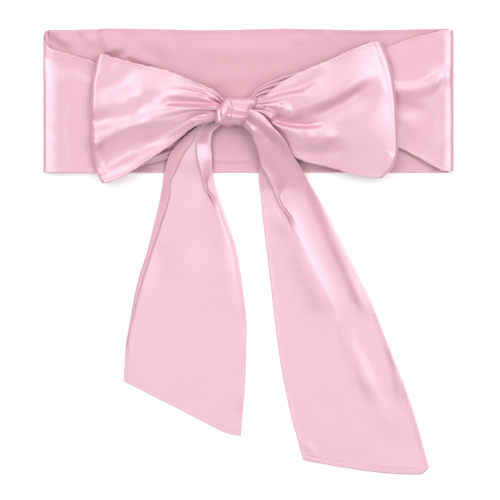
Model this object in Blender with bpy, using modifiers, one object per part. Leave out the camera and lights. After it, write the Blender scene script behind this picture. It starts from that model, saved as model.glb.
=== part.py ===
"""Satin sash tied in a bow and laid flat, seen from above in its photo.

Blender 4.5 script.  Run it with: blender --background --python part.py
One strip of satin goes round flat: a back panel on the surface, a soft fold at
each end, two front panels that gather to the knot, a bow of two loops, and two
tails.  Every stretch that shows is a sheet worked out from a short table of
sections, given a wall by Solidify, and trimmed round the knot.
Lengths in the tables are millimetres; the scene is in metres, +Z up, and +Y is
the way to the belt's upper edge.
"""
import math
from collections import namedtuple

import bmesh
import bpy
import numpy as np

MM = 0.001

# Driving dimensions, in millimetres
BELT_WIDTH = 150.0       # finished width of the satin strip
BELT_HALF_LENGTH = 213.0  # from the middle to each side fold
BELT_LOWER_EDGE = 81.0   # the belt's lower edge, above the middle of the whole part
WALL = 1.0               # thickness of each sheet
SEAM_GAP = 0.3           # clearance between pieces that meet
SLANTED_SEAM_GAP = 0.7   # the same, measured along X where the seam runs aslant
FOLD_RADIUS = 4.5        # the strip's bend at each side of the belt
LOOP_RADIUS = 5.0        # the strip's bend at the tip of each loop
PLEAT_RADIUS = 0.8       # the bend at the edge of a pressed pleat
PLEAT_RELEASE = 15.0     # length over which a pleat's upper layer comes down
RELEASE_CLEARANCE = 3.0  # the upper layer stays up this far past the hidden fold
FULL_PLEAT = 4.0         # a pleat or flap less deep than this opens its bends
SHORTEST_RUN = 0.6       # least length between the two bends of a pleat
BEND_LENGTH = math.pi * PLEAT_RADIUS
TOP_EDGE_WANDER = 0.8    # how far the back panel's upper edge waves
TOP_EDGE_WAVES = 1.25

# Steps of the grids
TURN_STEPS = 6           # round the bend at a strip's far fold
BEND_STEPS = 4           # round each bend of a pleat
FLAP_STEPS = 2
MAIN_STEPS = 7
PLEAT_STEPS = 2
LOWER_STEPS = 4
TAIL_ROWS = 24
BACK_PANEL_ROWS = 6
BACK_PANEL_COLUMNS = 15
GATHERS = 3              # waves across a strip where it gathers to the knot

# The knot, in millimetres
KNOT_CENTRE = (-13.0, 143.5)
KNOT_TOP = 37.0
KNOT_BOTTOM = WALL + SEAM_GAP
KNOT_SIDE_POWER = 0.5    # below 1 the sides stand steeper than a sphere's
KNOT_CAP_POWER = 0.85
KNOT_SEGMENTS = 28
KNOT_RINGS = 14

# Colours and roughness of the satin's two sides
FACE_COLOUR = (0.87, 0.58, 0.68, 1.0)
FACE_ROUGHNESS = 0.32
REVERSE_COLOUR = (0.80, 0.50, 0.58, 1.0)
REVERSE_ROUGHNESS = 0.5

Section = namedtuple("Section", "along upper_x upper_y lower_x lower_y"
                                " upper_z middle_z lower_z wave")
TailSection = namedtuple("TailSection", "along left_x left_y right_x right_y"
                                        " left_z right_z flap shows pleat")
Fold = namedtuple("Fold", "start end across_start across_end half_width height")
Bulge = namedtuple("Bulge", "across out")
KnotRay = namedtuple("KnotRay", "degrees radius")
Strip = namedtuple("Strip", "name sections folds tip outward radius rows columns")
Tail = namedtuple("Tail", "name sections folds end mirrored")
Run = namedtuple("Run", "length start_heading end_heading steps")

# Sections of each strip from the knot (along 0) to its far fold (along 1).
# upper and lower are its two long edges in plan; z is the middle of the wall;
# wave is the half height of the gathers in that section.
LEFT_PANEL = [
    Section(0.00, -17, 151, -17, 138, 5.0, 5.0, 5.0, 0.3),
    Section(0.10, -37, 157, -38, 131, 4.6, 5.0, 3.8, 0.9),
    Section(0.20, -60, 163, -61, 111, 4.2, 4.8, 2.9, 1.6),
    Section(0.33, -84, 171, -84, 95, 3.8, 4.4, 2.5, 1.4),
    Section(0.48, -112, 181, -112, 87, 3.6, 3.8, 2.6, 0.9),
    Section(0.62, -140, 190, -140, 81.5, 3.6, 3.4, 3.0, 0.4),
    Section(0.75, -164, 198, -164, 81, 4.2, 3.6, 3.6, 0.2),
    Section(0.86, -184, 203, -184, 81, 6.6, 5.4, 6.0, 0.0),
    Section(0.94, -198, 207.5, -198, 81, 8.7, 8.2, 8.4, 0.0),
    Section(1.00, -208.5, 210.5, -208.5, 81, 9.5, 9.5, 9.5, 0.0),
]
RIGHT_PANEL = [
    Section(0.00, -9, 151, -9, 139, 5.0, 5.0, 5.0, 0.6),
    Section(0.10, 16, 160, 16, 135, 4.6, 5.0, 4.2, 1.0),
    Section(0.20, 38, 167, 43, 133, 4.4, 5.0, 4.0, 1.6),
    Section(0.33, 64, 179, 70, 128, 4.0, 4.6, 3.6, 1.4),
    Section(0.48, 92, 191, 98, 121, 3.8, 4.2, 3.4, 0.9),
    Section(0.62, 119, 202, 127, 114, 3.8, 4.0, 3.4, 0.5),
    Section(0.75, 148, 213, 158, 106, 4.4, 4.0, 3.8, 0.2),
    Section(0.86, 172, 221.5, 180, 94.5, 6.4, 5.6, 5.8, 0.0),
    Section(0.94, 193, 226, 197, 85.5, 8.6, 8.0, 8.2, 0.0),
    Section(1.00, 208.5, 230, 208.5, 81.5, 9.5, 9.5, 9.5, 0.0),
]
LEFT_LOOP_FRONT = [
    Section(0.00, -19, 152, -19, 140, 24.0, 27.0, 23.0, 0.6),
    Section(0.12, -35, 165, -37, 134, 25.0, 30.0, 21.5, 0.8),
    Section(0.27, -55, 174, -54, 129, 22.5, 30.5, 18.5, 0.8),
    Section(0.48, -84, 186, -78, 111, 19.5, 28.5, 16.0, 0.5),
    Section(0.68, -113, 193, -104, 93, 18.0, 25.0, 15.0, 0.2),
    Section(0.85, -136, 199, -129, 77, 17.4, 21.0, 15.5, 0.0),
    Section(1.00, -151, 204, -147, 70, 17.0, 18.0, 16.5, 0.0),
]
LEFT_LOOP_BACK = [
    Section(0.00, -19, 152, -19, 140, 17.0, 17.0, 16.2, 0.8),
    Section(0.12, -35, 162, -37, 137, 16.5, 17.0, 15.5, 1.0),
    Section(0.27, -55, 171, -54, 131, 15.0, 15.5, 14.4, 1.2),
    Section(0.48, -84, 183, -78, 113, 12.4, 12.6, 12.2, 1.2),
    Section(0.68, -113, 190, -104, 95, 9.6, 10.0, 9.6, 0.8),
    Section(0.85, -136, 197, -129, 79, 7.6, 8.4, 7.4, 0.3),
    Section(1.00, -151, 204, -147, 70, 7.0, 8.0, 6.5, 0.0),
]
RIGHT_LOOP_FRONT = [
    Section(0.00, -7, 153, -7, 141, 21.0, 23.0, 18.0, 0.5),
    Section(0.10, 14, 159, 14, 135, 22.0, 26.0, 16.5, 0.6),
    Section(0.25, 34, 174, 34, 108, 21.0, 28.0, 13.8, 0.6),
    Section(0.40, 60, 187, 56, 93, 20.0, 28.5, 13.0, 0.4),
    Section(0.60, 86, 197.5, 84, 86, 19.0, 27.0, 13.5, 0.2),
    Section(0.80, 112, 209, 113, 78, 18.0, 24.0, 14.5, 0.0),
    Section(1.00, 133, 216.5, 134, 75, 17.0, 18.0, 16.0, 0.0),
]
RIGHT_LOOP_BACK = [
    Section(0.00, -7, 154, -7, 141, 13.0, 13.0, 12.0, 0.3),
    Section(0.10, 11, 169, 14, 139, 13.0, 13.5, 11.5, 0.5),
    Section(0.25, 38, 181, 36, 112, 12.5, 13.0, 10.4, 1.0),
    Section(0.40, 60, 187, 58, 96, 11.5, 12.0, 9.6, 1.0),
    Section(0.60, 86, 195, 84, 89, 9.8, 10.4, 8.6, 0.8),
    Section(0.80, 112, 206, 113, 81, 8.0, 9.0, 7.4, 0.3),
    Section(1.00, 133, 216.5, 134, 75, 7.0, 8.0, 6.0, 0.0),
]

# How far each loop's tip stands out from the straight line between its corners
LEFT_TIP = [
    Bulge(0.00, 0.0),
    Bulge(0.10, 3.5),
    Bulge(0.25, 7.5),
    Bulge(0.50, 9.5),
    Bulge(0.80, 9.0),
    Bulge(0.92, 5.0),
    Bulge(1.00, 0.0),
]
RIGHT_TIP = [
    Bulge(0.00, 0.0),
    Bulge(0.10, 6.0),
    Bulge(0.25, 11.5),
    Bulge(0.50, 15.5),
    Bulge(0.80, 16.5),
    Bulge(0.90, 12.5),
    Bulge(1.00, 0.0),
]
STRAIGHT_TIP = [Bulge(0.0, 0.0), Bulge(0.5, 0.0), Bulge(1.0, 0.0)]

# How far each tail's cut end hangs below the straight line between its corners
LEFT_END = [
    Bulge(0.00, 0.0),
    Bulge(0.50, 2.0),
    Bulge(0.85, 4.0),
    Bulge(1.00, 0.0),
]
RIGHT_END = [
    Bulge(0.00, 0.0),
    Bulge(0.35, 5.5),
    Bulge(0.70, 8.5),
    Bulge(0.93, 7.5),
    Bulge(1.00, 0.0),
]

# Soft folds: from one place along the strip to another, at a share of its width
LEFT_PANEL_FOLDS = [
    Fold(0.62, 1.10, 0.30, 0.08, 0.10, -1.2),
    Fold(0.55, 1.00, 0.62, 0.45, 0.12, 1.2),
]
RIGHT_PANEL_FOLDS = [
    Fold(0.55, 1.00, 0.40, 0.36, 0.07, 2.2),
    Fold(0.55, 1.00, 0.55, 0.52, 0.08, -1.4),
    Fold(0.60, 0.98, 0.20, 0.10, 0.07, -1.2),
]
LEFT_LOOP_FOLDS = [
    Fold(0.00, 0.75, 0.36, 0.28, 0.08, -4.0),
    Fold(0.05, 1.00, 0.52, 0.42, 0.08, 3.0),
    Fold(0.10, 1.05, 0.78, 0.62, 0.07, -4.0),
    Fold(0.15, 1.05, 0.93, 0.80, 0.08, 2.0),
    Fold(0.55, 1.05, 0.18, 0.12, 0.08, 1.6),
]
RIGHT_LOOP_FOLDS = [
    Fold(0.00, 0.60, 0.20, 0.24, 0.07, 2.5),
    Fold(0.00, 0.70, 0.34, 0.30, 0.07, -3.5),
    Fold(0.05, 0.75, 0.60, 0.36, 0.07, -4.0),
    Fold(0.05, 0.55, 0.76, 0.62, 0.06, 2.5),
    Fold(0.15, 0.60, 0.88, 0.74, 0.06, -2.0),
]

# Tail sections from the knot to the cut end.  flap is the width of the edge
# folded to the front, shows is how far the lower layer shows past the pleat's
# fold, and pleat is how deep the pleat lies between its two folds.
LEFT_TAIL = [
    TailSection(0.00, -28, 148, -18, 137, 9.2, 9.2, 4.2, 2.0, 4.2),
    TailSection(0.05, -41, 141, -29, 130, 9.0, 9.0, 4.2, 3.0, 4.2),
    TailSection(0.10, -56, 127, -38, 121, 8.0, 8.0, 8.0, 5.0, 9.0),
    TailSection(0.15, -71, 114, -39, 108, 6.4, 6.2, 10.0, 14.0, 11.0),
    TailSection(0.19, -82, 100, -38, 96, 4.6, 4.4, 13.0, 14.5, 17.0),
    TailSection(0.25, -87, 81, -37, 79, 2.1, 2.1, 9.0, 9.0, 22.0),
    TailSection(0.32, -91, 58, -32, 57, 0.5, 0.5, 8.0, 5.5, 24.0),
    TailSection(0.40, -97, 32, -23, 32, 0.5, 0.5, 6.0, 4.5, 20.0),
    TailSection(0.49, -104, 3, -13, 2, 0.5, 0.5, 4.0, 5.0, 12.0),
    TailSection(0.59, -115, -32, -7, -34, 0.5, 0.5, 4.0, 7.0, 4.0),
    TailSection(0.71, -123, -73, -2, -80, 0.5, 0.5, 1.5, 9.0, 0.4),
    TailSection(0.83, -128, -105, -3, -125, 0.5, 0.5, 0.3, 10.0, 0.2),
    TailSection(1.00, -130, -136, -8, -193, 0.5, 0.5, 0.2, 10.0, 0.2),
]
RIGHT_TAIL = [
    TailSection(0.00, -16, 138, -5, 149, 23.5, 26.0, 0.0, 4.0, 3.0),
    TailSection(0.05, -6, 129, 13, 141, 21.0, 25.5, 0.0, 4.0, 4.2),
    TailSection(0.10, 1, 123, 26, 127, 18.0, 24.0, 0.0, 3.0, 8.0),
    TailSection(0.15, 5, 113, 38, 114, 13.5, 22.5, 0.0, 1.5, 12.0),
    TailSection(0.19, 9, 103, 44, 102, 9.5, 19.0, 0.0, 1.5, 15.0),
    TailSection(0.24, 11, 90, 53, 88, 4.8, 10.5, 0.0, 2.5, 20.0),
    TailSection(0.29, 11, 76, 62, 72, 1.9, 3.0, 0.0, 10.0, 24.0),
    TailSection(0.36, 13, 55, 75, 50, 0.5, 0.5, 0.0, 18.0, 24.0),
    TailSection(0.45, 16, 24, 91, 18, 0.5, 0.5, 0.0, 28.0, 18.0),
    TailSection(0.56, 21, -17, 109, -17, 0.5, 0.5, 0.0, 42.0, 9.0),
    TailSection(0.68, 26, -60, 130, -60, 0.5, 0.5, 0.0, 58.0, 1.0),
    TailSection(0.79, 32, -108, 149, -108, 0.5, 0.5, 0.0, 66.0, 0.2),
    TailSection(0.90, 41, -157, 169, -160, 0.5, 0.5, 0.0, 70.0, 0.2),
    TailSection(1.00, 57, -218, 188, -226, 0.5, 0.5, 0.0, 70.0, 0.2),
]
LEFT_TAIL_FOLDS = [
    Fold(0.20, 0.75, 0.30, 0.22, 0.10, 0.8),
]
RIGHT_TAIL_FOLDS = [
    Fold(0.30, 0.85, 0.62, 0.72, 0.07, 2.4),
    Fold(0.60, 0.95, 0.88, 0.84, 0.05, 1.6),
]

# The knot's outline seen from above, as rays from its centre
KNOT_OUTLINE = [
    KnotRay(0, 22.5),
    KnotRay(33, 26.0),
    KnotRay(60, 17.5),
    KnotRay(90, 14.5),
    KnotRay(125, 16.0),
    KnotRay(156, 20.0),
    KnotRay(180, 22.5),
    KnotRay(213, 24.0),
    KnotRay(240, 16.0),
    KnotRay(270, 13.8),
    KnotRay(311, 16.5),
    KnotRay(343, 17.0),
    KnotRay(360, 22.5),
]


def clear_scene():
    for item in list(bpy.data.objects):
        bpy.data.objects.remove(item, do_unlink=True)


def make_collection(name):
    group = bpy.data.collections.new(name)
    bpy.context.scene.collection.children.link(group)
    return group


def make_material(name, colour, roughness):
    material = bpy.data.materials.new(name)
    material.use_nodes = True
    shader = material.node_tree.nodes["Principled BSDF"]
    shader.inputs["Base Color"].default_value = colour
    shader.inputs["Roughness"].default_value = roughness
    shader.inputs["Metallic"].default_value = 0.0
    return material


def smooth_columns(table, places):
    """Every column of the table at the given places of its first column.

    A monotone cubic: it bends smoothly and never swings past a row's value.
    """
    rows = np.array(table, dtype=float)
    knots = rows[:, 0]
    steps = np.diff(knots)[:, None]
    rises = np.diff(rows, axis=0) / steps
    slopes = np.zeros_like(rows)
    before = rises[:-1]
    after = rises[1:]
    same_way = before * after > 0.0
    total = np.where(same_way, before + after, 1.0)
    slopes[1:-1] = np.where(same_way, 2.0 * before * after / total, 0.0)
    slopes[0] = rises[0]
    slopes[-1] = rises[-1]
    spots = np.clip(np.asarray(places, dtype=float), knots[0], knots[-1])
    left = np.clip(np.searchsorted(knots, spots, side="right") - 1, 0, len(knots) - 2)
    width = steps[left]
    share = ((spots - knots[left])[:, None]) / width
    low = rows[left]
    high = rows[left + 1]
    value = low * (1 + 2 * share) * (1 - share) ** 2
    value += slopes[left] * width * share * (1 - share) ** 2
    value += high * share ** 2 * (3 - 2 * share)
    value += slopes[left + 1] * width * share ** 2 * (share - 1)
    return value


def ease(value, start, end):
    """0 before start, 1 after end, and a smooth climb between them."""
    share = np.clip((value - start) / (end - start), 0.0, 1.0)
    return share * share * (3.0 - 2.0 * share)


def fold_heights(folds, along, across):
    """Summed height of the soft folds at each place along and across a strip."""
    total = np.zeros(np.broadcast(along, across).shape)
    for fold in folds:
        share = (along - fold.start) / (fold.end - fold.start)
        window = np.sin(np.pi * np.clip(share, 0.0, 1.0)) ** 0.7
        centre = fold.across_start + (fold.across_end - fold.across_start) * share
        total += fold.height * window * np.exp(-((across - centre) / fold.half_width) ** 2)
    return total


def strip_points(strip):
    """Grid of points of a strip from the knot to its far fold, turned under there.

    outward is -1 where the fold lies to the left and 1 where it lies to the
    right.  With a radius of 0 the strip ends a seam's gap short of its last
    section, where the front's own bend meets it.
    """
    along = np.linspace(0.0, 1.0, strip.rows)[:, None]
    across = np.linspace(0.0, 1.0, strip.columns)[None, :]
    at = Section(*smooth_columns(strip.sections, along[:, 0]).T[:, :, None])
    bulge = smooth_columns(strip.tip, across[0])[:, 1][None, :]
    x = at.upper_x * (1 - across) + at.lower_x * across + strip.outward * bulge * along ** 2
    y = at.upper_y * (1 - across) + at.lower_y * across
    crown = at.middle_z - (at.upper_z + at.lower_z) / 2.0
    z = at.upper_z * (1 - across) + at.lower_z * across + crown * 4.0 * across * (1 - across)
    z = z + at.wave * np.sin(2 * np.pi * GATHERS * across) * np.sin(np.pi * across) ** 0.5
    relief = fold_heights(strip.folds, along, across)
    if strip.radius <= 0.0:
        x = x - strip.outward * SLANTED_SEAM_GAP * along
        return np.stack([x, y, z + relief], axis=2)
    points = np.stack([x, y, z + relief], axis=2)
    turn = []
    for angle in np.linspace(0.0, math.pi, TURN_STEPS + 1)[1:]:
        left_of_folds = (1.0 + math.cos(angle)) / 2.0
        drop = strip.radius * (1.0 - math.cos(angle))
        row = points[-1].copy()
        row[:, 0] += strip.outward * strip.radius * math.sin(angle)
        row[:, 2] = z[-1] + relief[-1] * left_of_folds - drop
        turn.append(row)
    return np.concatenate([points, np.stack(turn)], axis=0)


def pleat_turn(depth):
    """Angle that a pleat's layers turn through: a full turn until it runs out."""
    return math.pi * float(ease(depth, 0.0, FULL_PLEAT))


def pleat_run(depth):
    """Length between a pleat's two bends, which shrinks before the bends open."""
    return max(depth - FULL_PLEAT, SHORTEST_RUN)


def section_path(runs):
    """Side and height of each point of a section made of straight runs and bends."""
    lengths = []
    headings = []
    for run in runs:
        for step in range(run.steps):
            share = (step + 0.5) / run.steps
            lengths.append(run.length / run.steps)
            headings.append(run.start_heading + (run.end_heading - run.start_heading) * share)
    lengths = np.array(lengths)
    headings = np.array(headings)
    side = np.concatenate([[0.0], np.cumsum(lengths * np.cos(headings))])
    height = np.concatenate([[0.0], np.cumsum(lengths * np.sin(headings))])
    return side, height


def tail_section(row, mirrored):
    """Side and height of one tail section, from its left edge to its right.

    One pleat lies across it.  In the left tail the left part lies over the
    right one, with its own left edge folded to the front; mirrored, in the
    right tail, the right part lies over the left one.
    """
    span = math.hypot(row.right_x - row.left_x, row.right_y - row.left_y)
    turn = pleat_turn(row.pleat)
    depth = pleat_run(row.pleat)
    reach = depth * math.cos(turn) + 2.0 * BEND_LENGTH * float(np.sinc(turn / math.pi))
    lower = row.shows - min(reach, 0.0)
    upper = span - lower - reach
    if mirrored:
        side, height = section_path([
            Run(lower, 0.0, 0.0, LOWER_STEPS),
            Run(BEND_LENGTH, 0.0, turn, BEND_STEPS),
            Run(depth, turn, turn, PLEAT_STEPS),
            Run(BEND_LENGTH, turn, 0.0, BEND_STEPS),
            Run(upper, 0.0, 0.0, MAIN_STEPS),
        ])
        is_upper = np.arange(len(side)) > LOWER_STEPS + 2 * BEND_STEPS + PLEAT_STEPS
        past = lower + RELEASE_CLEARANCE
        released = ease(side, past, past + PLEAT_RELEASE)
        return side, height - height[-1] * released * is_upper
    flap_turn = pleat_turn(row.flap)
    side, height = section_path([
        Run(pleat_run(row.flap), -flap_turn, -flap_turn, FLAP_STEPS),
        Run(BEND_LENGTH, -flap_turn, 0.0, BEND_STEPS),
        Run(upper - PLEAT_RADIUS, 0.0, 0.0, MAIN_STEPS),
        Run(BEND_LENGTH, 0.0, -turn, BEND_STEPS),
        Run(depth, -turn, -turn, PLEAT_STEPS),
        Run(BEND_LENGTH, -turn, 0.0, BEND_STEPS),
        Run(lower, 0.0, 0.0, LOWER_STEPS),
    ])
    side = side - side.min()
    height = height - height[-1]
    main_start = FLAP_STEPS + BEND_STEPS
    is_upper = np.arange(len(side)) <= main_start + MAIN_STEPS
    hidden_fold = side[-1] - lower - RELEASE_CLEARANCE
    released = 1.0 - ease(side, hidden_fold - PLEAT_RELEASE, hidden_fold)
    return side, height - height[main_start] * released * is_upper


def tail_points(tail):
    """Grid of points of a pleated tail, from the knot to its cut end."""
    along = np.linspace(0.0, 1.0, TAIL_ROWS)
    grid = []
    for place, values in zip(along, smooth_columns(tail.sections, along)):
        row = TailSection(*values)
        side, height = tail_section(row, tail.mirrored)
        share = (side - side.min()) / (side.max() - side.min())
        hang = smooth_columns(tail.end, share)[:, 1] * place ** 4
        x = row.left_x + (row.right_x - row.left_x) * share
        y = row.left_y + (row.right_y - row.left_y) * share - hang
        z = row.left_z + (row.right_z - row.left_z) * share + height
        z = z + fold_heights(tail.folds, np.full(share.shape, place), share)
        grid.append(np.stack([x, y, z], axis=1))
    return np.stack(grid)


def sheet_object(name, points, material, group):
    """Open grid of quads with a live Solidify wall, half to each side of it."""
    rows, columns = points.shape[:2]
    mesh = bmesh.new()
    vertices = [mesh.verts.new(point * MM) for point in points.reshape(-1, 3)]
    for row in range(rows - 1):
        for column in range(columns - 1):
            corner = row * columns + column
            corners = (corner, corner + columns, corner + columns + 1, corner + 1)
            mesh.faces.new([vertices[i] for i in corners])
    data = bpy.data.meshes.new(name)
    mesh.to_mesh(data)
    mesh.free()
    data.materials.append(material)
    item = bpy.data.objects.new(name, data)
    group.objects.link(item)
    wall = item.modifiers.new("wall", "SOLIDIFY")
    wall.thickness = WALL * MM
    wall.offset = 0.0
    wall.use_even_offset = False
    return item


def knot_mesh(name, extra):
    """Closed rounded knot, grown by extra millimetres on every side."""
    mesh = bmesh.new()
    bmesh.ops.create_uvsphere(mesh, u_segments=KNOT_SEGMENTS, v_segments=KNOT_RINGS, radius=1.0)
    middle = (KNOT_TOP + KNOT_BOTTOM) / 2.0
    half_height = (KNOT_TOP - KNOT_BOTTOM) / 2.0 + extra
    for vertex in mesh.verts:
        flat = math.hypot(vertex.co.x, vertex.co.y)
        degrees = math.degrees(math.atan2(vertex.co.y, vertex.co.x)) % 360.0
        radius = smooth_columns(KNOT_OUTLINE, [degrees])[0, 1] + extra
        reach = radius * flat ** KNOT_SIDE_POWER if flat > 1e-6 else 0.0
        rise = math.copysign(abs(vertex.co.z) ** KNOT_CAP_POWER, vertex.co.z)
        angle = math.radians(degrees)
        vertex.co.x = (KNOT_CENTRE[0] + reach * math.cos(angle)) * MM
        vertex.co.y = (KNOT_CENTRE[1] + reach * math.sin(angle)) * MM
        vertex.co.z = (middle + half_height * rise) * MM
    data = bpy.data.meshes.new(name)
    mesh.to_mesh(data)
    mesh.free()
    return data


def trim_round(item, cutter):
    trim = item.modifiers.new("room for the knot", "BOOLEAN")
    trim.operation = "DIFFERENCE"
    trim.solver = "EXACT"
    trim.object = cutter


def build_back_panel(group):
    """The stretch behind, flat on the surface, between the two side folds."""
    end = BELT_HALF_LENGTH - FOLD_RADIUS - SEAM_GAP
    columns = np.linspace(-1.0, 1.0, BACK_PANEL_COLUMNS)
    rows = np.linspace(0.0, 1.0, BACK_PANEL_ROWS)
    along, across = np.meshgrid(columns, rows)
    wander = TOP_EDGE_WANDER * (np.sin(along * TOP_EDGE_WAVES * 2.0 * np.pi) - 1.0) * across
    y = BELT_LOWER_EDGE + BELT_WIDTH * across + wander
    points = np.stack([along * end, y, np.full(y.shape, WALL / 2)], axis=2)
    material = make_material("satin_reverse", REVERSE_COLOUR, REVERSE_ROUGHNESS)
    return sheet_object("back_panel", points, material, group)


def build_strips(group, cutter):
    """Front panels and loops: each gathers to the knot and bends at its far fold."""
    strips = [
        Strip("left_front_panel", LEFT_PANEL, LEFT_PANEL_FOLDS, STRAIGHT_TIP,
              -1, FOLD_RADIUS, 16, 17),
        Strip("right_front_panel", RIGHT_PANEL, RIGHT_PANEL_FOLDS, STRAIGHT_TIP,
              1, FOLD_RADIUS, 16, 17),
        Strip("left_loop_back", LEFT_LOOP_BACK, [], LEFT_TIP, -1, 0.0, 13, 15),
        Strip("left_loop_front", LEFT_LOOP_FRONT, LEFT_LOOP_FOLDS, LEFT_TIP,
              -1, LOOP_RADIUS, 15, 17),
        Strip("right_loop_back", RIGHT_LOOP_BACK, [], RIGHT_TIP, 1, 0.0, 13, 15),
        Strip("right_loop_front", RIGHT_LOOP_FRONT, RIGHT_LOOP_FOLDS, RIGHT_TIP,
              1, LOOP_RADIUS, 15, 17),
    ]
    for strip in strips:
        material = make_material(strip.name, FACE_COLOUR, FACE_ROUGHNESS)
        trim_round(sheet_object(strip.name, strip_points(strip), material, group), cutter)


def build_tails(group, cutter):
    """Left tail over the front panel, right tail over the edge of the right loop."""
    tails = [
        Tail("left_tail", LEFT_TAIL, LEFT_TAIL_FOLDS, LEFT_END, False),
        Tail("right_tail", RIGHT_TAIL, RIGHT_TAIL_FOLDS, RIGHT_END, True),
    ]
    for tail in tails:
        material = make_material(tail.name, FACE_COLOUR, FACE_ROUGHNESS)
        trim_round(sheet_object(tail.name, tail_points(tail), material, group), cutter)


def build_knot(group):
    """The strip's wrap round the gathered bow, as one rounded solid."""
    knot = bpy.data.objects.new("knot", knot_mesh("knot", 0.0))
    knot.data.materials.append(make_material("knot", FACE_COLOUR, FACE_ROUGHNESS))
    group.objects.link(knot)


def build():
    clear_scene()
    parts = make_collection("satin_sash")
    cutters = make_collection("cutters")
    cutter = bpy.data.objects.new("knot_room", knot_mesh("knot_room", SEAM_GAP))
    cutter.hide_render = True
    cutter.display_type = "WIRE"
    cutters.objects.link(cutter)
    build_back_panel(parts)
    build_strips(parts, cutter)
    build_tails(parts, cutter)
    build_knot(parts)


build()
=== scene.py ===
"""Satin sash tied in a bow and laid flat: the looks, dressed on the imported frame."""
import math
from collections import namedtuple

import bmesh
import bpy
import numpy as np
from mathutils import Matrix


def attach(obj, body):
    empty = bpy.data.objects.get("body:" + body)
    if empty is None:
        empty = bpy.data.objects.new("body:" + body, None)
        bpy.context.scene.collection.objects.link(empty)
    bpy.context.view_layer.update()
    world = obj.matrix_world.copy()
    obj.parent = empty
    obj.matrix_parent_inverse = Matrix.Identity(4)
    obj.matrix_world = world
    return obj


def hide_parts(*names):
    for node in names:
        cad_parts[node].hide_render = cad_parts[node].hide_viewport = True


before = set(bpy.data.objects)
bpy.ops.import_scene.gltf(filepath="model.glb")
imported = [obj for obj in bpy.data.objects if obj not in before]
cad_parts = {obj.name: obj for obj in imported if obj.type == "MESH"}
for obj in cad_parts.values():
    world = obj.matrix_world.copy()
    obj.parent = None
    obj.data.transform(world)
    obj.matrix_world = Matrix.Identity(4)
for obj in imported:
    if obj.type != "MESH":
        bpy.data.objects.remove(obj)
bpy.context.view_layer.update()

# Back panel: the stretch of satin strip that lies behind, reverse side up.
# It is a crepe-backed polyester satin, cut 150 mm wide finished, with a narrow
# hem stitched down along both long edges; it lies flat on the surface.

MM = 0.001
BELT_WIDTH = 150.0
BELT_LOWER_EDGE = 81.0
BACK_END = 208.2
SHEET = 0.5              # thickness of the satin as drawn, in mm
HEM_WIDTH = 4.0
HEM_RISE = 0.35          # how much the doubled hem stands above the cloth
HEM_ZONE = 5.2           # width of edge that is meshed finely, for the hem
HEM_COLUMNS = 12
STITCH_DIP = 0.3         # how deep the stitches pull the hem down
STITCH_DIP_INSET = 0.9   # distance of that dip from the hem's inner edge
STITCH_DIP_WIDTH = 0.6
REST_GAP = 0.2           # gap left between the lowest sheet and the surface
LEAST_LIFT = 0.5         # a trough may go this deep before the surface stops it
FACE_HEX = "#D892AC"
REVERSE_HEX = "#D598AA"
THREAD_HEX = "#F4C8D6"
THREAD_RADIUS = 0.2
STITCH_LENGTH = 2.4
STITCH_PITCH = 3.2
STITCH_INSET = 3.3       # distance of the hem's stitches from the edge
FIRST_STITCH = 0.4
THREADS_PER_METRE = 2000.0
FLOATS_PER_METRE = 60.0
DYE_PATCHES_PER_METRE = 14.0
PLIES_PER_METRE = 2500.0

Section = namedtuple("Section", "along upper_x upper_y lower_x lower_y"
                                " upper_z middle_z lower_z wave")
Fold = namedtuple("Fold", "start middle end height left right fade_in fade_out")
Bulge = namedtuple("Bulge", "across out bend")


def linear_colour(hex_text):
    """sRGB hex to the linear values that shader sockets take."""
    values = []
    for place in (1, 3, 5):
        share = int(hex_text[place:place + 2], 16) / 255.0
        values.append(share / 12.92 if share <= 0.04045 else ((share + 0.055) / 1.055) ** 2.4)
    return (*values, 1.0)


def add_node(tree, kind, settings=None, inputs=None, links=None):
    """A node with its settings and socket values, and links from other sockets into it."""
    node = tree.nodes.new(kind)
    for name, value in (settings or {}).items():
        setattr(node, name, value)
    for name, value in (inputs or {}).items():
        node.inputs[name].default_value = value
    for name, socket in (links or {}).items():
        tree.links.new(socket, node.inputs[name])
    return node


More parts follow.
